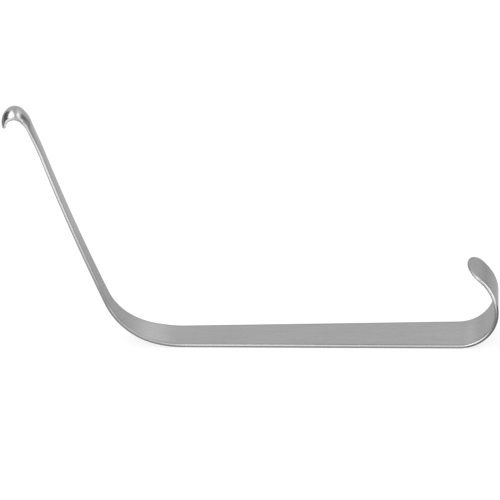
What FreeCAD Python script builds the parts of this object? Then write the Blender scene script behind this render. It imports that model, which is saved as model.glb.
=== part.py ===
import FreeCAD, Part
import math
import os

os.makedirs("parts", exist_ok=True)

# One strap of sheet steel bent in one plane: a finger curl, a straight handle,
# a bend, a slightly bowed arm and a small scooped hook.
# X runs along the handle towards the curl, Y across the strap and Z up.
# The origin is the middle of the underside of the straight handle.

# Strap, in mm
thickness = 1.5
handle_length = 109.6
handle_width_at_curl = 19.9
handle_width_at_bend = 15.7
edge_radius = 0.45

# Finger curl, in mm and degrees
curl_radius = 15.2
curl_angle = 97.0
tongue_radius = 20.0
tongue_angle = 46.2
tongue_straight = 4.2
tongue_width = 17.4
tongue_round = 6.8

# Bend and arm
lead_radius = 45.7
lead_angle = 16.3
bend_radius = 27.7
bend_angle = 51.8
bend_narrowing = 4.1
arm_length = 83.7
arm_bow_angle = 4.8

# Hook
neck_radius = 11.2
neck_angle = 29.7
hook_radius = 4.58
hook_angle = 135.0
hook_straight = 2.06
hook_width = 10.9
hook_thickness = 1.08
hook_crown = 1.14
hook_round = 2.6
hook_flare = 14.9

# Derived sizes
taper = (handle_width_at_curl - handle_width_at_bend) / handle_length
section_step = 2.2
hook_step = 1.0
end_margin = 1.5
fillet_radius = min(edge_radius, 0.42 * min(thickness, hook_thickness))


# Length and turn in degrees of an arc
def bent(radius, angle):
    return (radius * math.radians(abs(angle)), angle)


curl_runs = [
    bent(curl_radius, curl_angle),
    bent(tongue_radius, tongue_angle),
    (tongue_straight, 0.0),
]
arm_runs = [
    bent(lead_radius, -lead_angle),
    bent(bend_radius, -bend_angle),
    (arm_length, -arm_bow_angle),
    bent(neck_radius, neck_angle),
    bent(hook_radius, hook_angle),
    (hook_straight, 0.0),
]
curl_end = sum(run[0] for run in curl_runs)
bend_end = arm_runs[0][0] + arm_runs[1][0]
neck_start = bend_end + arm_length
flare_start = neck_start - hook_flare
hook_crest = neck_start + 0.5 * (arm_runs[3][0] + arm_runs[4][0])
arm_end = sum(run[0] for run in arm_runs)
tongue_joint = curl_end - tongue_round - end_margin
tip_joint = arm_end - hook_round - 1.2 * end_margin


# Smooth step from 0 to 1
def ease(u):
    v = min(max(u, 0.0), 1.0)
    return v * v * (3.0 - 2.0 * v)


# Point and heading at distance s along a chain of runs that leaves the handle
def follow(x, heading, runs, s):
    z = thickness / 2.0
    left = s
    last = runs[-1]
    for run in runs:
        rate = math.radians(run[1]) / run[0]
        step = left if run is last or left < 0.0 else min(left, run[0])
        if left < 0.0:
            rate = 0.0
        ahead = heading + rate * step
        if abs(rate) < 1e-9:
            x += step * math.cos(heading)
            z += step * math.sin(heading)
        else:
            x += (math.sin(ahead) - math.sin(heading)) / rate
            z += (math.cos(heading) - math.cos(ahead)) / rate
        heading = ahead
        left -= step
        if left <= 0.0:
            break
    return FreeCAD.Vector(x, 0, z), heading


# Place, face normal and direction on the curl side
def curl_frame(s):
    place, heading = follow(handle_length / 2.0, 0.0, curl_runs, s)
    along = FreeCAD.Vector(math.cos(heading), 0, math.sin(heading))
    face = FreeCAD.Vector(-math.sin(heading), 0, math.cos(heading))
    return place, face, along


# The same on the arm side, where the face turned up on the handle turns outward on the hook
def arm_frame(s):
    place, heading = follow(-handle_length / 2.0, math.pi, arm_runs, s)
    along = FreeCAD.Vector(math.cos(heading), 0, math.sin(heading))
    face = FreeCAD.Vector(math.sin(heading), 0, -math.cos(heading))
    return place, face, along


# The even taper widens into the curl, then the tongue narrows to its end
def curl_width(s):
    start = 0.85 * curl_runs[0][0]
    blend = ease((s - start) / (tongue_joint - start))
    return (handle_width_at_curl + taper * s) * (1.0 - blend) + tongue_width * blend


# 0 on the plain arm, 1 from the crest of the hook to its tip
def hook_blend(s):
    return ease((s - flare_start) / (hook_crest - flare_start))


# The taper goes on along the arm, less a further narrowing round the bend
def arm_width(s):
    start = 0.5 * arm_runs[0][0]
    narrow = bend_narrowing * ease((s - start) / (bend_end - start))
    plain = handle_width_at_bend - taper * s - narrow
    blend = hook_blend(s)
    return plain * (1.0 - blend) + hook_width * blend


# Poles of one section: the row across each face, front then back
def section(frame, width, gauge, crown):
    place, face, along = frame
    across = face.cross(along)
    rows = []
    for side in (1.0, -1.0):
        surface = place + face * (side * gauge / 2.0)
        edge = surface - face * crown
        reach = across * (width / 2.0)
        rows.append([edge - reach, surface + face * crown, edge + reach])
    return rows


# Surface over a grid of curves that share their knots, degree 3 along the strap
def skin(curves, degree):
    poles = []
    for row in zip(*[curve.getPoles() for curve in curves]):
        poles.append(list(row))
    surface = Part.BSplineSurface()
    surface.buildFromPolesMultsKnots(
        poles,
        curves[0].getMultiplicities(),
        [degree + 1, degree + 1],
        curves[0].getKnots(),
        [0.0, 1.0],
        False,
        False,
        3,
        degree,
    )
    return surface.toShape()


# A length of strap through its sections, with true directions at both ends
def strap_piece(section_at, start, end, step):
    count = math.ceil((end - start) / step)
    places = [start + (end - start) * i / count for i in range(count + 1)]
    sections = [section_at(s) for s in places]
    h = 1e-4
    ends = []
    for s in (start, end):
        ends.append((section_at(s - h), section_at(s + h)))
    curves = []
    for side in (0, 1):
        for k in (0, 1, 2):
            slopes = []
            for before, after in ends:
                slopes.append((after[side][k] - before[side][k]) / (2.0 * h))
            curve = Part.BSplineCurve()
            curve.interpolate(
                Points=[rows[side][k] for rows in sections],
                Parameters=places,
                InitialTangent=slopes[0],
                FinalTangent=slopes[1],
                Scale=False,
            )
            curves.append(curve)
    faces = [skin(curves[0:3], 2), skin(curves[3:6], 2)]
    faces.append(skin([curves[0], curves[3]], 1))
    faces.append(skin([curves[2], curves[5]], 1))
    for rows in (sections[0], sections[-1]):
        faces.append(end_face(rows))
    shell = Part.makeCompound(faces)
    shell.sewShape()
    solid = Part.Solid(shell.Shells[0])
    if solid.Volume < 0.0:
        solid.reverse()
    return solid


# Flat face that closes a piece at one section
def end_face(rows):
    front = Part.BezierCurve()
    front.setPoles(rows[0])
    back = Part.BezierCurve()
    back.setPoles(rows[1])
    sides = [
        front.toShape(),
        Part.makeLine(rows[0][2], rows[1][2]),
        back.toShape(),
        Part.makeLine(rows[1][0], rows[0][0]),
    ]
    return Part.Face(Part.Wire(Part.__sortEdges__(sides)))


def curl_section(s):
    return section(curl_frame(s), curl_width(s), thickness, 0.0)


def arm_section(s):
    blend = hook_blend(s)
    gauge = thickness + (hook_thickness - thickness) * blend
    return section(arm_frame(s), arm_width(s), gauge, hook_crown * blend)


# The same faces carried on past both edges, to be trimmed to a rounded end
def wide_tongue_section(s):
    return section(curl_frame(s), tongue_width + 2.0 * end_margin, thickness, 0.0)


def wide_tip_section(s):
    width = hook_width + 2.0 * end_margin
    crown = hook_crown * (width / hook_width) ** 2
    return section(arm_frame(s), width, hook_thickness, crown)


# Prism in the shape of an end seen square on: straight sides and a half ellipse
def end_prism(frame, width, length):
    place, face, along = frame
    half = face.cross(along) * (width / 2.0)
    tip = along * length
    back = along * (-2.0 * length)
    depth = face * (3.0 * length)
    base = place - tip - depth * 0.5
    if half.Length > length:
        end = Part.Ellipse(base + half, base + tip, base).toShape(0.0, math.pi)
    else:
        end = Part.Ellipse(base + tip, base + half, base).toShape(-math.pi / 2.0, math.pi / 2.0)
    sides = [
        end,
        Part.makeLine(base + half, base + half + back),
        Part.makeLine(base + half + back, base - half + back),
        Part.makeLine(base - half + back, base - half),
    ]
    return Part.Face(Part.Wire(Part.__sortEdges__(sides))).extrude(depth)


# The straight handle, an evenly tapered bar
def handle_bar():
    end = handle_length / 2.0
    right_half = handle_width_at_curl / 2.0
    left_half = handle_width_at_bend / 2.0
    corners = [
        FreeCAD.Vector(-end, -left_half, 0),
        FreeCAD.Vector(end, -right_half, 0),
        FreeCAD.Vector(end, right_half, 0),
        FreeCAD.Vector(-end, left_half, 0),
    ]
    outline = Part.makePolygon(corners + corners[:1])
    return Part.Face(outline).extrude(FreeCAD.Vector(0, 0, thickness))


# Whether an edge lies in the plane across the strap at a joint
def lies_at(edge, joint):
    place, face, along = joint
    middle = (edge.FirstParameter + edge.LastParameter) / 2.0
    offsets = []
    for t in (edge.FirstParameter, middle, edge.LastParameter):
        offsets.append(abs((edge.valueAt(t) - place).dot(along)))
    return max(offsets) < 0.01


# Edges at which two faces meet sharply, leaving out those at the joints with other lengths
def rims(solid, joints):
    found = []
    for edge in solid.Edges:
        if any(lies_at(edge, joint) for joint in joints):
            continue
        middle = edge.valueAt((edge.FirstParameter + edge.LastParameter) / 2.0)
        normals = []
        for face in solid.ancestorsOfType(edge, Part.Face):
            u, v = face.Surface.parameter(middle)
            normals.append(face.normalAt(u, v))
        if normals[0].getAngle(normals[-1]) > math.radians(40.0):
            found.append(edge)
    return found


# A length of the strap with its rims rounded
def rounded(solid, *joints):
    return solid.makeFillet(fillet_radius, rims(solid, joints))


def curl():
    piece = strap_piece(curl_section, 0.0, tongue_joint, section_step)
    return rounded(piece, curl_frame(0.0), curl_frame(tongue_joint))


def tongue():
    piece = strap_piece(wide_tongue_section, tongue_joint, curl_end + end_margin, hook_step)
    piece = piece.common(end_prism(curl_frame(curl_end), tongue_width, tongue_round))
    return rounded(piece, curl_frame(tongue_joint))


def arm():
    piece = strap_piece(arm_section, 0.0, flare_start, section_step)
    return rounded(piece, arm_frame(0.0), arm_frame(flare_start))


def hook():
    piece = strap_piece(arm_section, flare_start, tip_joint, hook_step)
    return rounded(piece, arm_frame(flare_start), arm_frame(tip_joint))


def hook_tip():
    piece = strap_piece(wide_tip_section, tip_joint, arm_end + end_margin, hook_step)
    piece = piece.common(end_prism(arm_frame(arm_end), hook_width, hook_round))
    return rounded(piece, arm_frame(tip_joint))


# The lengths meet face to face and join into one body
def retractor():
    handle = rounded(handle_bar(), curl_frame(0.0), arm_frame(0.0))
    return handle.fuse([curl(), tongue(), arm(), hook(), hook_tip()]).Solids[0]


retractor().exportStep("parts/retractor.step")
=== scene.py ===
# %% [markdown]
# ## A retractor bent from one strap of steel
# A handheld surgical retractor of this pattern is a single strap of stainless sheet.
# The maker cuts a flat blank, rounds and polishes its rims, gives both faces a satin grain,
# and bends it in one plane: a finger curl, a straight handle, an arm and a small scooped hook.
# The scene follows the same order. A guide line holds the bends, a node tree lays the
# blank along it, and the finish reads a map that follows the strap.

# %% Load the frame
import math

import bpy
from mathutils import Matrix, Vector


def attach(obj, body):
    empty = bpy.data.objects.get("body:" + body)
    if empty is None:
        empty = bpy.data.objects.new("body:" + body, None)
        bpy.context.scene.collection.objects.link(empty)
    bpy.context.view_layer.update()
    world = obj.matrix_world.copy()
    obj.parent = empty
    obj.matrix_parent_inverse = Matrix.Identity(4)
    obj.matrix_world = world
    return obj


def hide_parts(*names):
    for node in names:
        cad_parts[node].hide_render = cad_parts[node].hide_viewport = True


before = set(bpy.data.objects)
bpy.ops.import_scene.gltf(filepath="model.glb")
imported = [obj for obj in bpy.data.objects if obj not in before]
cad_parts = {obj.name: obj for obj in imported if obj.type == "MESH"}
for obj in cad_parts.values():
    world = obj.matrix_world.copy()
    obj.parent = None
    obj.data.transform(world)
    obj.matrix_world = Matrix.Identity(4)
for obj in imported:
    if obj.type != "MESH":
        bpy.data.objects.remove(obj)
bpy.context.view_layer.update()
mm = 0.001

# %% [markdown]
# ## The camera
# The picture was taken from far away with a long lens, a little above the instrument and
# almost square on to it. The camera is placed round a pivot on the underside of the handle,
# and then aimed so that this pivot falls on the pixel where the picture has it.
# Aiming keeps the lens free of shift, so the other views stay centred too.

# %% Camera
picture_side = 500.0
pivot = Vector((-28.2 * mm, 0.0, 0.0))
pivot_pixel = (251.23, 337.63)
pixels_per_metre = 2500.0
camera_distance = 3.2
camera_height = math.radians(30.0)
camera_turn = math.radians(-2.0)
camera_roll = math.radians(1.3)
sensor_width = 36.0


def add_camera():
    level = math.cos(camera_height)
    aside = math.sin(camera_turn) * level
    ahead = math.cos(camera_turn) * level
    forward = Vector((aside, ahead, -math.sin(camera_height)))
    right = forward.cross(Vector((0.0, 0.0, 1.0))).normalized()
    up = right.cross(forward)
    roll = Matrix.Rotation(camera_roll, 3, forward)
    right, up = roll @ right, roll @ up
    across = (pivot_pixel[0] - picture_side / 2.0) / pixels_per_metre
    down = (pivot_pixel[1] - picture_side / 2.0) / pixels_per_metre
    target = pivot - right * across + up * down
    place = pivot - forward * camera_distance
    look = (target - place).normalized()
    right = look.cross(up).normalized()
    turned = Matrix((right, right.cross(look), -look)).transposed()
    data = bpy.data.cameras.new("camera")
    data.sensor_width = sensor_width
    data.lens = camera_distance * pixels_per_metre / picture_side * sensor_width
    data.clip_end = 4.0 * camera_distance
    camera = bpy.data.objects.new("camera", data)
    camera.matrix_world = Matrix.Translation(place) @ turned.to_4x4()
    bpy.context.scene.collection.objects.link(camera)
    bpy.context.scene.camera = camera
    print("lens in mm", round(data.lens, 1), "aimed at", [round(value / mm, 1) for value in target])


add_camera()

# %% [markdown]
# ## The line that the strap follows
# Every bend is an arc of a known radius and angle, so the middle line is a chain of runs,
# each a length and a turn. It could be drawn by hand as a curve, but a chain of arcs keeps
# each bend a true arc, and one number changes one bend. Two chains leave the middle of the
# handle, one towards the curl and one towards the hook.

# %% Sizes of the strap
thickness = 1.5 * mm
edge_radius = 0.62 * mm
handle_length = 109.6 * mm
handle_width_at_curl = 19.9 * mm
handle_width_at_bend = 15.7 * mm
bend_narrowing = 4.1 * mm
tongue_width = 17.4 * mm
tongue_round = 6.8 * mm
hook_width = 10.9 * mm
hook_thickness = 1.08 * mm
hook_crown = 1.14 * mm
hook_round = 2.6 * mm
hook_flare = 14.9 * mm


def bent(radius, angle):
    return (radius * math.radians(abs(angle)), math.radians(angle))


curl_runs = [bent(15.2 * mm, 97.0), bent(20.0 * mm, 46.2), (4.2 * mm, 0.0)]
arm_runs = [
    bent(45.7 * mm, -16.3),
    bent(27.7 * mm, -51.8),
    (83.7 * mm, math.radians(-4.8)),
    bent(11.2 * mm, 29.7),
    bent(4.58 * mm, 135.0),
    (2.06 * mm, 0.0),
]
taper = (handle_width_at_curl - handle_width_at_bend) / handle_length
curl_length = sum(run[0] for run in curl_runs)
arm_side_length = sum(run[0] for run in arm_runs)
bend_end = arm_runs[0][0] + arm_runs[1][0]
neck_start = bend_end + arm_runs[2][0]
flare_start = neck_start - hook_flare
hook_crest = neck_start + 0.5 * (arm_runs[3][0] + arm_runs[4][0])
end_margin = 1.5 * mm
print("length along the strap in mm", round((curl_length + handle_length + arm_side_length) / mm, 1))

# %% [markdown]
# ## Width, gauge and crown
# The strap tapers evenly from the curl to the hook. It is narrower round the bend, and it
# flares again into the hook, where the sheet is thinned and its faces take a crown: hollow
# inside and round outside. Each of these is a smooth step between two plain values,
# written on the points of the guide line, so that the node tree can read them anywhere.
# The polish of the rims is written there too, and with it a painted shade: the rims are painted
# darker and made rougher at the end of the tongue, round the bend and over the crest of the hook.

# %% Rules along the strap
def ease(u):
    v = min(max(u, 0.0), 1.0)
    return v * v * (3.0 - 2.0 * v)


def follow(x, heading, runs, distance):
    z = thickness / 2.0
    left = distance
    for length, turn in runs:
        step = left if (length, turn) == runs[-1] else min(left, length)
        rate = turn / length
        ahead = heading + rate * step
        if abs(rate) < 1e-9:
            x += step * math.cos(heading)
            z += step * math.sin(heading)
        else:
            x += (math.sin(ahead) - math.sin(heading)) / rate
            z += (math.cos(heading) - math.cos(ahead)) / rate
        heading = ahead
        left -= step
        if left <= 0.0:
            break
    return (x, 0.0, z)


def curl_width(s):
    start = 0.85 * curl_runs[0][0]
    blend = ease((s - start) / (curl_length - tongue_round - end_margin - start))
    return (handle_width_at_curl + taper * s) * (1.0 - blend) + tongue_width * blend


def arm_width(s):
    start = 0.5 * arm_runs[0][0]
    narrow = bend_narrowing * ease((s - start) / (bend_end - start))
    blend = hook_share(s)
    return (handle_width_at_bend - taper * s - narrow) * (1.0 - blend) + hook_width * blend


def hook_share(s):
    return ease((s - flare_start) / (hook_crest - flare_start))


# Marks for the polish of the rims, where a low share is painted shade: mm from the handle's middle, + to
# the hook, and a share
polish_and_shade_marks = [
    (-99.0, 0.0),
    (-94.5, 1.0),
    (50.0, 1.0),
    (66.0, 0.2),
    (93.0, 0.15),
    (112.0, 0.9),
    (176.0, 1.0),
    (182.0, 0.0),
    (187.0, 0.0),
    (191.0, 1.0),
]


def polish_and_painted_shade(s):
    share = polish_and_shade_marks[0][1]
    for (start, before), (end, after) in zip(polish_and_shade_marks, polish_and_shade_marks[1:]):
        share += (after - before) * ease((s / mm - start) / (end - start))
    return share


# Place, half width, half gauge, crown, and polish with painted shade, at a distance from the handle's
# middle
def guide_point(s):
    outer = abs(s) - handle_length / 2.0
    if outer <= 0.0:
        share = 0.5 - s / handle_length
        width = handle_width_at_bend + (handle_width_at_curl - handle_width_at_bend) * share
        return (-s, 0.0, thickness / 2.0), width / 2.0, thickness / 2.0, 0.0, polish_and_painted_shade(s)
    if s < 0.0:
        place = follow(handle_length / 2.0, 0.0, curl_runs, outer)
        return place, curl_width(outer) / 2.0, thickness / 2.0, 0.0, polish_and_painted_shade(s)
    place = follow(-handle_length / 2.0, math.pi, arm_runs, outer)
    share = hook_share(outer)
    gauge = thickness + (hook_thickness - thickness) * share
    return place, arm_width(outer) / 2.0, gauge / 2.0, hook_crown * share, polish_and_painted_shade(s)


for station, s in (("end of the bend", bend_end), ("neck", neck_start), ("hook", hook_crest)):
    print("width in mm at the", station, round(arm_width(s) / mm, 2))

# %% Guide line
guide_step = 0.1 * mm


def guide_line():
    start = -handle_length / 2.0 - curl_length
    end = handle_length / 2.0 + arm_side_length
    count = round((end - start) / guide_step)
    rows = [guide_point(start + (end - start) * i / count) for i in range(count + 1)]
    mesh = bpy.data.meshes.new("guide_line")
    mesh.from_pydata([row[0] for row in rows], [(i, i + 1) for i in range(count)], [])
    for column, name in enumerate(("half_width", "half_gauge", "crown", "polish_and_painted_shade"), start=1):
        layer = mesh.attributes.new(name, "FLOAT", "POINT")
        layer.data.foreach_set("value", [row[column] for row in rows])
    guide = bpy.data.objects.new("guide_line", mesh)
    bpy.context.scene.collection.objects.link(guide)
    print("guide points", len(rows))
    return guide


guide = guide_line()

# %% [markdown]
# ## Writing a node tree like a formula
# A sum in a node tree is a handful of boxes and wires, and a long rule is hard to read that
# way. The small class below wraps a socket, so that the plus, minus, times and divide signs
# of Python each add one Math node. The tree in Blender is the same one a hand would wire.


# %% Formula helper
class Field:
    def __init__(self, tree, socket):
        self.tree = tree
        self.socket = socket

    def math(self, operation, *others):
        node = self.tree.nodes.new("ShaderNodeMath")
        node.operation = operation
        for slot, value in enumerate((self,) + others):
            plug(self.tree, value, node.inputs[slot])
        return Field(self.tree, node.outputs[0])

    def __add__(self, other):
        return self.math("ADD", other)

    def __sub__(self, other):
        return self.math("SUBTRACT", other)

    def __mul__(self, other):
        return self.math("MULTIPLY", other)

    def __truediv__(self, other):
        return self.math("DIVIDE", other)

    def clamped(self, low=0.0, high=1.0):
        return self.math("MAXIMUM", low).math("MINIMUM", high)


# Joins a value, a socket or a field to a node's input
def plug(tree, value, target):
    if isinstance(value, Field):
        value = value.socket
    if isinstance(value, bpy.types.NodeSocket):
        tree.links.new(value, target)
    elif value is not None:
        target.default_value = value


# Adds a node, sets its options, and fills its inputs by name or by number
def add(tree, kind, options=None, **inputs):
    node = tree.nodes.new(kind)
    for name, value in (options or {}).items():
        setattr(node, name, value)
    for name, value in inputs.items():
        key = int(name[1:]) if name[0] == "n" and name[1:].isdigit() else name.replace("_", " ")
        plug(tree, value, node.inputs[key])
    return node


# %% [markdown]
# ## The strap as a bent blank
# The blank is a flat shape with straight sides and half-elliptical ends, and rims rounded to
# one radius. A grid has one row for each station along the strap and one column for each
# step round its section: over the face, round a rim, under the back and round the other rim.
# First the tree finds where each grid point lies on the flat blank. Then it reads the guide
# line at that distance and moves the point there, which bends the blank.
# Extruding a profile along a curve would be shorter, but it can't round the ends of the
# strap or let width and gauge change apart from each other.

# %% Strap tree
tongue_steps = 30
hook_steps = 24
middle_steps = 720
face_steps = 16
rim_steps = 10
rim_limit = 0.88
merge_distance = 0.002 * mm
quarter_turn = math.pi / 2.0


def strap_tree(inputs):
    tree = bpy.data.node_groups.new("bent_strap", "GeometryNodeTree")
    face = tree.interface
    face.new_socket("Guide", in_out="INPUT", socket_type="NodeSocketGeometry")
    for name, (kind, value) in inputs.items():
        socket = face.new_socket(name, in_out="INPUT", socket_type=kind)
        if kind != "NodeSocketMaterial":
            socket.default_value = value
    face.new_socket("Strap", in_out="OUTPUT", socket_type="NodeSocketGeometry")
    source = tree.nodes.new("NodeGroupInput")
    size = {name: Field(tree, source.outputs[name]) for name in inputs}
    curve = add(tree, "GeometryNodeMeshToCurve", Mesh=source.outputs["Guide"]).outputs["Curve"]
    length = Field(tree, add(tree, "GeometryNodeCurveLength", Curve=curve).outputs["Length"])
    rows = size["Tongue steps"] + size["Middle steps"] + size["Hook steps"]
    columns = (size["Face steps"] + size["Rim steps"]) * 2.0
    counts = {"Vertices_X": rows + 1.0, "Vertices_Y": columns + 1.0}
    grid = add(tree, "GeometryNodeMeshGrid", Size_X=1.0, Size_Y=1.0, **counts)
    corner = add(tree, "ShaderNodeSeparateXYZ", Vector=add(tree, "GeometryNodeInputPosition").outputs[0])
    row = (Field(tree, corner.outputs["X"]) + 0.5) * rows
    column = (Field(tree, corner.outputs["Y"]) + 0.5) * columns

    def sampled(at, name=None):
        value = None
        if name:
            named = add(tree, "GeometryNodeInputNamedAttribute", {"data_type": "FLOAT"}, Name=name)
            value = named.outputs["Attribute"]
        options = {"mode": "LENGTH", "use_all_curves": False, "data_type": "FLOAT"}
        node = add(tree, "GeometryNodeSampleCurve", options, Curves=curve, Value=value, Length=at)
        return Field(tree, node.outputs["Value"]) if name else node

    def stored(geometry, name, value, kind="FLOAT", domain="POINT"):
        options = {"data_type": kind, "domain": domain}
        values = {"Geometry": geometry, "Name": name, "Value": value}
        return add(tree, "GeometryNodeStoreNamedAttribute", options, **values).outputs[0]

    def combined(operation, first, second):
        node = add(tree, "ShaderNodeVectorMath", {"operation": operation}, n0=first, n1=second)
        return node.outputs[0]

    # Where the station lies: the turn through each rounded end, and the distance between them
    tongue_turn = ((size["Tongue steps"] - row) / size["Tongue steps"]).clamped() * quarter_turn
    past_middle = row - size["Tongue steps"] - size["Middle steps"]
    hook_turn = (past_middle / size["Hook steps"]).clamped() * quarter_turn
    middle = ((row - size["Tongue steps"]) / size["Middle steps"]).clamped()
    straight = length - size["Tongue round"] - size["Hook round"]
    in_tongue_end = size["Tongue round"] - tongue_turn.math("SINE") * size["Tongue round"]
    in_hook_end = hook_turn.math("SINE") * size["Hook round"]
    station = in_tongue_end + middle * straight + in_hook_end
    plain_half = sampled(station, "half_width")
    half_gauge = sampled(station, "half_gauge")
    outline_half = plain_half * tongue_turn.math("COSINE") * hook_turn.math("COSINE")
    in_tongue = tongue_turn.math("GREATER_THAN", 0.0)
    end_round = size["Hook round"] + (size["Tongue round"] - size["Hook round"]) * in_tongue
    out_along = plain_half * (hook_turn.math("SINE") - tongue_turn.math("SINE"))
    out_across = end_round * tongue_turn.math("COSINE") * hook_turn.math("COSINE")
    out_length = (out_along * out_along + out_across * out_across).math("SQRT")

    # Where the step lies round the section: share across the face, and share up the rim
    turn = column / size["Face steps"]
    rim = size["Rim steps"] / size["Face steps"]
    falling = (rim + 1.0) * 2.0 - turn * 2.0 + 1.0
    across_share = (turn * 2.0 - 1.0).math("MINIMUM", falling).clamped(-1.0, 1.0)
    down = ((turn - 1.0) / rim) * -2.0 + 1.0
    up = ((turn - 2.0 - rim) / rim) * 2.0 - 1.0
    up_share = down.math("MAXIMUM", up).clamped(-1.0, 1.0)

    # The rim's profile: a flat between two quarter rounds
    radius = (half_gauge * size["Rim limit"]).math("MINIMUM", size["Edge radius"])
    flat = half_gauge - radius
    along_rim = up_share.math("ABSOLUTE") * (flat + radius * quarter_turn)
    angle = (along_rim - flat).math("MAXIMUM", 0.0) / radius
    height = (along_rim.math("MINIMUM", flat) + angle.math("SINE") * radius) * up_share.math("SIGN")
    inset = radius - angle.math("COSINE") * radius

    # The point on the flat blank, and then on the bent strap
    distance = (station - inset * out_along / out_length).clamped(0.0, length)
    across = (outline_half - inset * out_across / out_length) * across_share
    place = sampled(distance)
    crown = sampled(distance, "crown")
    share = across / plain_half
    lift = height - crown * share * share
    side = combined("CROSS_PRODUCT", (0.0, 1.0, 0.0), place.outputs["Tangent"])
    lifted = add(tree, "ShaderNodeVectorMath", {"operation": "SCALE"}, n0=side, Scale=lift)
    moved = combined("ADD", place.outputs["Position"], lifted.outputs[0])
    sideways = add(tree, "ShaderNodeCombineXYZ", Y=across)
    final = combined("ADD", moved, sideways.outputs[0])

    # A map that follows the strap in metres, and masks for the rims, their polish with painted shade,
    # the hook, and the gap to the rim that sets the painted shade beside the rims
    around = across_share * plain_half + (up_share - 1.0) * half_gauge
    map_point = add(tree, "ShaderNodeCombineXYZ", X=station, Y=around)
    marked = stored(grid.outputs["Mesh"], "strap_map", map_point.outputs[0], "FLOAT2", "CORNER")
    masks = {
        "rim": (angle / quarter_turn) * -1.0 + 1.0,
        "polish_and_painted_shade": sampled(distance, "polish_and_painted_shade"),
        "hook": crown / size["Hook crown"],
        "edge_gap": (across_share.math("ABSOLUTE") * -1.0 + 1.0) * outline_half,
    }
    for name, value in masks.items():
        marked = stored(marked, name, value)

    # The two ends of the section meet, and the faces turn outward
    shaped = add(tree, "GeometryNodeSetPosition", Geometry=marked, Position=final).outputs[0]
    limit = size["Merge distance"]
    merged = add(tree, "GeometryNodeMergeByDistance", Geometry=shaped, Distance=limit).outputs[0]
    outward = add(tree, "GeometryNodeFlipFaces", Mesh=merged).outputs[0]
    smooth = add(tree, "GeometryNodeSetShadeSmooth", Geometry=outward).outputs[0]
    real = add(tree, "GeometryNodeRealizeInstances", Geometry=smooth).outputs[0]
    finish = source.outputs["Material"]
    painted = add(tree, "GeometryNodeSetMaterial", Geometry=real, Material=finish)
    sink = tree.nodes.new("NodeGroupOutput")
    tree.links.new(painted.outputs[0], sink.inputs["Strap"])
    print("strap tree has", len(tree.nodes), "nodes")
    return tree


# %% [markdown]
# ## Satin steel
# The faces of the real strap are brushed along its length to a satin that scatters light and
# hides glare in the operating field, and the rims are polished. The material is a metal whose
# grain is noise stretched along the strap's own map, so that it turns with every bend. The
# same grain drives colour, roughness and a faint bump, and the rim mask brings the gloss up.
# A picture of brushed steel would be quicker, but it would repeat, and it would blur close up.
# The faces are also painted a little darker close to the rims, a painted shade along them: a second
# mask, the gap to the rim, takes some grey off there.

# %% Steel material
face_grey = 0.35
rim_gain = 0.25
# Painted shade beside the rims: how much grey it takes off, and how far from the rim it reaches
painted_shade_by_rim = 0.1
painted_shade_width = 0.8 * mm
grain_in_colour = 0.16
rim_roughness = 0.18
dull_rim_gain = 0.25
face_gain = 0.1
hook_loss = 0.08
grain_in_roughness = 0.25
edge_tint = 0.8


# Noise stretched along the strap: lengths are the size of one streak, along and across
def streaks(tree, along, across, detail):
    strap_map = add(tree, "ShaderNodeUVMap", {"uv_map": "strap_map"}).outputs[0]
    scaled = add(tree, "ShaderNodeMapping", Vector=strap_map, Scale=(1.0 / along, 1.0 / across, 1.0))
    noise = add(
        tree, "ShaderNodeTexNoise", Vector=scaled.outputs[0], Scale=1.0, Detail=detail, Roughness=0.6
    )
    return Field(tree, noise.outputs[0])


def mask(tree, name):
    return Field(tree, add(tree, "ShaderNodeAttribute", {"attribute_name": name}).outputs["Fac"])


def satin_steel():
    material = bpy.data.materials.new("satin_steel")
    material.use_nodes = True
    tree = material.node_tree
    shader = tree.nodes["Principled BSDF"]
    shader.inputs["Metallic"].default_value = 1.0
    shader.inputs["Anisotropic"].default_value = 0.2
    shader.inputs["Anisotropic Rotation"].default_value = 0.25
    shader.inputs["Specular Tint"].default_value = (edge_tint, edge_tint, edge_tint, 1.0)
    fine = streaks(tree, 5.0 * mm, 0.09 * mm, 3.0)
    broad = streaks(tree, 22.0 * mm, 0.7 * mm, 3.0)
    cloud = streaks(tree, 30.0 * mm, 9.0 * mm, 2.0)
    grain = fine * 0.45 + broad * 0.35 + cloud * 0.2 - 0.5
    rim = mask(tree, "rim")
    # Polished rims are brighter and smoother; where the polish share is low, the rims are painted
    # darker, a painted shade
    rim_polish_and_shade = rim * mask(tree, "polish_and_painted_shade")
    hook = mask(tree, "hook")
    satin = rim * -1.0 + 1.0
    # Painted shade: the faces are painted darker within a short gap of the rims, except on the hook
    painted_shade_ramp = ((mask(tree, "edge_gap") / painted_shade_width) * -1.0 + 1.0).clamped()
    painted_rim_shade = painted_shade_ramp * satin * (hook * -1.0 + 1.0)
    tone = grain * satin * grain_in_colour + rim_polish_and_shade * rim_gain + face_grey - painted_rim_shade * painted_shade_by_rim
    colour = add(tree, "ShaderNodeCombineColor", Red=tone, Green=tone, Blue=tone)
    plug(tree, colour.outputs[0], shader.inputs["Base Color"])
    rough_face = (grain * grain_in_roughness + face_gain - hook * hook_loss) * satin
    roughness = rough_face + (rim - rim_polish_and_shade) * dull_rim_gain + rim_roughness
    plug(tree, roughness, shader.inputs["Roughness"])
    bump = add(tree, "ShaderNodeBump", Strength=0.15, Distance=0.01 * mm, Height=grain * satin)
    plug(tree, bump.outputs[0], shader.inputs["Normal"])
    tangent = add(tree, "ShaderNodeTangent", {"direction_type": "UV_MAP", "uv_map": "strap_map"})
    plug(tree, tangent.outputs[0], shader.inputs["Tangent"])
    print("steel has", len(tree.nodes), "nodes")
    return material


# %% [markdown]
# ## From the tree to a plain piece
# The modifier's inputs are set by their identifiers before the tree runs for the first time.
# The result is copied to a plain mesh with one material, and the modifier and the guide line
# go, so that nothing has to be worked out again when the piece is used.


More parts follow.
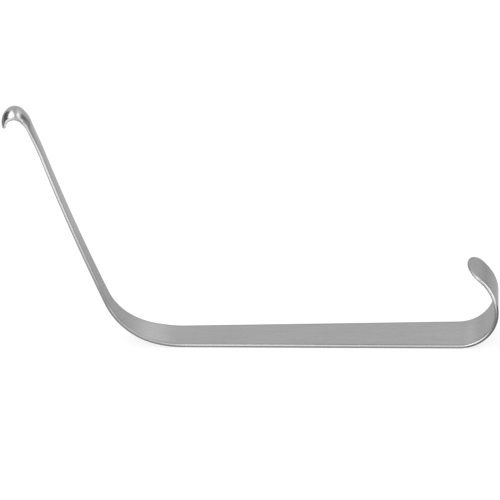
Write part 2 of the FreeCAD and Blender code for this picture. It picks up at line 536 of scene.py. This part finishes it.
# %% Make the strap
def make_strap(guide, material):
    inputs = {
        "Tongue steps": ("NodeSocketInt", tongue_steps),
        "Middle steps": ("NodeSocketInt", middle_steps),
        "Hook steps": ("NodeSocketInt", hook_steps),
        "Face steps": ("NodeSocketInt", face_steps),
        "Rim steps": ("NodeSocketInt", rim_steps),
        "Tongue round": ("NodeSocketFloat", tongue_round),
        "Hook round": ("NodeSocketFloat", hook_round),
        "Hook crown": ("NodeSocketFloat", hook_crown),
        "Edge radius": ("NodeSocketFloat", edge_radius),
        "Rim limit": ("NodeSocketFloat", rim_limit),
        "Merge distance": ("NodeSocketFloat", merge_distance),
        "Material": ("NodeSocketMaterial", material),
    }
    tree = strap_tree(inputs)
    modifier = guide.modifiers.new("bent_strap", "NODES")
    modifier.node_group = tree
    for item in tree.interface.items_tree:
        if item.in_out == "INPUT" and item.name in inputs:
            modifier[item.identifier] = inputs[item.name][1]
    bpy.context.view_layer.update()
    evaluated = guide.evaluated_get(bpy.context.evaluated_depsgraph_get())
    mesh = bpy.data.meshes.new_from_object(evaluated)
    mesh.name = "strap"
    mesh.materials.clear()
    mesh.materials.append(material)
    mesh.polygons.foreach_set("material_index", [0] * len(mesh.polygons))
    guide.modifiers.remove(modifier)
    bpy.data.objects.remove(guide)
    strap = bpy.data.objects.new("strap", mesh)
    bpy.context.scene.collection.objects.link(strap)
    print("strap has", len(mesh.vertices), "points and", len(mesh.materials), "material")
    return strap


strap = make_strap(guide, satin_steel())

# %% Check the strap
import bmesh


# A closed mesh has two faces at every edge, and a volume above 0 when they turn outward
def measure(piece):
    mesh = bmesh.new()
    mesh.from_mesh(piece.data)
    loose = sum(1 for edge in mesh.edges if len(edge.link_faces) != 2)
    volume = mesh.calc_volume(signed=True) / mm**3
    print("faces", len(mesh.faces), "open or crossed edges", loose, "volume in mm3", round(volume, 1))
    mesh.free()


measure(strap)
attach(strap, "root")
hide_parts("retractor")

# %% [markdown]
# ## Floor and surroundings
# The floor is plain, and it keeps the strap's soft shadow. Where the camera or the steel looks
# at it, it also glows a little, so that it shows as white without more light on the strap.
# The world round it is the same even white, a touch weaker where it only lights surfaces.


# %% Floor
floor_half = 6.0
floor_glow = 0.8
world_light = 0.9


# 1 for what the camera, a reflection or a clear body sees, 0 for what only lights a surface
def looked_at(tree):
    path = add(tree, "ShaderNodeLightPath")
    seen = Field(tree, path.outputs["Is Camera Ray"]).math("MAXIMUM", path.outputs["Is Glossy Ray"])
    return seen.math("MAXIMUM", path.outputs["Is Transmission Ray"])


def floor_material():
    material = bpy.data.materials.new("floor_white")
    material.use_nodes = True
    tree = material.node_tree
    tree.nodes.remove(tree.nodes["Principled BSDF"])
    matt = add(tree, "ShaderNodeBsdfDiffuse", Color=(0.9, 0.9, 0.9, 1.0))
    glow = add(tree, "ShaderNodeEmission", Color=(1.0, 1.0, 1.0, 1.0), Strength=1.0)
    share = looked_at(tree) * floor_glow
    mixed = add(tree, "ShaderNodeMixShader", n0=share, n1=matt.outputs[0], n2=glow.outputs[0])
    plug(tree, mixed.outputs[0], tree.nodes["Material Output"].inputs["Surface"])
    return material


# A flat rectangle centred on its own origin
def sheet(name, width, depth, material):
    mesh = bpy.data.meshes.new(name)
    x, y = width / 2.0, depth / 2.0
    corners = [(-x, -y, 0.0), (x, -y, 0.0), (x, y, 0.0), (-x, y, 0.0)]
    mesh.from_pydata(corners, [], [(0, 1, 2, 3)])
    mesh.materials.append(material)
    piece = bpy.data.objects.new(name, mesh)
    bpy.context.scene.collection.objects.link(piece)
    return piece


def add_world():
    world = bpy.data.worlds.new("studio")
    world.use_nodes = True
    tree = world.node_tree
    background = tree.nodes["Background"]
    plug(tree, looked_at(tree) * (1.0 - world_light) + world_light, background.inputs["Strength"])
    background.inputs["Color"].default_value = (1.0, 1.0, 1.0, 1.0)
    bpy.context.scene.world = world


floor = sheet("floor", 2.0 * floor_half, 2.0 * floor_half, floor_material())
add_world()
print("floor", 2.0 * floor_half, "m wide, world light", world_light)

# %% [markdown]
# ## Light for bare steel
# Metal has hardly a colour of its own: it shows what stands round it. A photographer sets soft
# boxes for the bright bands and holds up cards for the dark ones, and so does this scene. Each
# one stands in the direction that a bright or dark part of the strap mirrors in the picture.
# The boxes light everything. The cards are seen by the steel alone: they throw no shadow, don't
# light the floor and don't show in the picture. Most of them lie on the floor, because the rims
# of a strap that rests on a table mirror mostly the table. The two dark ones right in front of
# the handle and the curl are painted shadow: the floor's shade by the strap, as the steel mirrors it.


# %% Boxes and cards
def soft_box(name, place, target, width, depth, watts):
    data = bpy.data.lights.new(name, "AREA")
    data.shape = "RECTANGLE"
    data.size = width
    data.size_y = depth
    data.energy = watts
    lamp = bpy.data.objects.new(name, data)
    toward = (Vector(target) - Vector(place)).to_track_quat("-Z", "Y")
    lamp.matrix_world = Matrix.Translation(place) @ toward.to_matrix().to_4x4()
    bpy.context.scene.collection.objects.link(lamp)


def glow_material(name, grey):
    material = bpy.data.materials.new(name)
    material.use_nodes = True
    tree = material.node_tree
    tree.nodes.remove(tree.nodes["Principled BSDF"])
    glow = add(tree, "ShaderNodeEmission", Color=(grey, grey, grey, 1.0), Strength=1.0)
    plug(tree, glow.outputs[0], tree.nodes["Material Output"].inputs["Surface"])
    return material


# A card at a place, square to a target, turned by some degrees in its own plane
def card(name, place, target, width, depth, grey, turn=0.0):
    piece = sheet(name, width, depth, glow_material(name, grey))
    toward = (Vector(target) - Vector(place)).to_track_quat("Z", "Y")
    turned = toward.to_matrix().to_4x4() @ Matrix.Rotation(math.radians(turn), 4, "Z")
    piece.matrix_world = Matrix.Translation(place) @ turned
    piece.visible_camera = False
    piece.visible_shadow = False
    piece.visible_diffuse = False


# A point seen from a place on the strap: degrees round from straight behind, degrees up, metres
def seen_from(place, turn, height, distance):
    level = math.cos(math.radians(height)) * distance
    up = math.sin(math.radians(height)) * distance
    way = Vector((math.sin(math.radians(turn)) * level, math.cos(math.radians(turn)) * level, up))
    return Vector(place) + way


# %% Set the light
hook_place = (-0.12, 0.0, 0.1)
middle = (0.0, 0.0, 0.01)

# Name, the place it faces, degrees round and up, metres away, width, height, watts
soft_boxes = [
    ("box_left", hook_place, -36.0, 55.0, 1.0, 0.64, 0.72, 3.4),
    ("box_right", hook_place, 42.0, 47.0, 1.0, 0.45, 0.33, 0.7),
    ("box_high_left", hook_place, -122.0, 54.0, 1.0, 0.8, 0.36, 1.5),
    ("box_low_left", middle, -95.0, 30.0, 1.2, 1.3, 0.6, 2.2),
    ("box_side", hook_place, 80.0, 34.0, 1.0, 0.45, 0.5, 1.3),
    ("box_behind", middle, 20.0, 32.0, 2.0, 0.9, 1.0, 0.9),
    ("box_front", middle, -150.0, 18.0, 1.2, 0.9, 0.8, 3.0),
    ("box_front_high", middle, 178.0, 50.0, 1.2, 1.0, 0.9, 2.3),
    ("box_front_right", middle, 128.0, 9.0, 1.0, 0.7, 0.3, 1.3),
]
# Name, degrees round and up from the hook, metres away, width, height, grey
standing_cards = [
    ("card_left", -52.0, 15.0, 0.6, 0.5, 0.46, 0.2),
    ("card_right", 48.0, 14.0, 3.0, 0.8, 1.4, 0.27),
]
# Name, middle in x and y, height above the floor, width, depth, grey, turn
floor_cards = [
    # Painted shadow: the floor's shade in front of the handle's rim, seen only in the steel
    ("painted_floor_shadow_rim", 0.0, -0.034, 0.0001, 0.2, 0.053, 0.45, 0.0),
    ("card_below_arm", -0.14, -0.06, 0.0002, 0.14, 0.08, 0.58, 0.0),
    ("card_bright", -0.04, -0.2, 0.0002, 0.36, 0.12, 1.6, 0.0),
    ("card_crest", -0.16, -0.55, 0.0003, 0.55, 0.55, 0.25, 0.0),
    # Painted shadow: the floor's shade in front of the curl, seen only in the steel
    ("painted_floor_shadow_curl", 0.088, -0.021, 0.0004, 0.06, 0.03, 0.24, 0.0),
    ("card_behind_arm", -0.062, 0.072, 0.0003, 0.06, 0.09, 0.84, 0.0),
    ("card_floor_right", 0.25, -0.05, 0.0003, 0.34, 0.14, 0.15, 0.0),
    ("card_floor_left", -0.48, 0.1, 0.0003, 0.44, 0.5, 0.3, 0.0),
    ("card_far", 1.106, 1.104, 0.0004, 0.34, 2.3, 0.45, -48.0),
    ("card_behind_curl", 0.15, 0.15, 0.0003, 0.2, 0.26, 0.88, 0.0),
]
for name, target, turn, height, away, width, depth, watts in soft_boxes:
    soft_box(name, seen_from(target, turn, height, away), target, width, depth, watts)
for name, turn, height, away, width, depth, grey in standing_cards:
    card(name, seen_from(hook_place, turn, height, away), hook_place, width, depth, grey)
for name, x, y, height, width, depth, grey, turn in floor_cards:
    card(name, (x, y, height), (x, y, 1.0), width, depth, grey, turn)
card("card_tongue", (0.021, 0.015, 0.075), (0.05, -0.005, 0.04), 0.05, 0.05, 0.6)
bpy.context.scene.view_settings.view_transform = "Standard"
print("soft boxes", len(soft_boxes), "cards", len(standing_cards) + len(floor_cards) + 1)

bpy.context.view_layer.update()
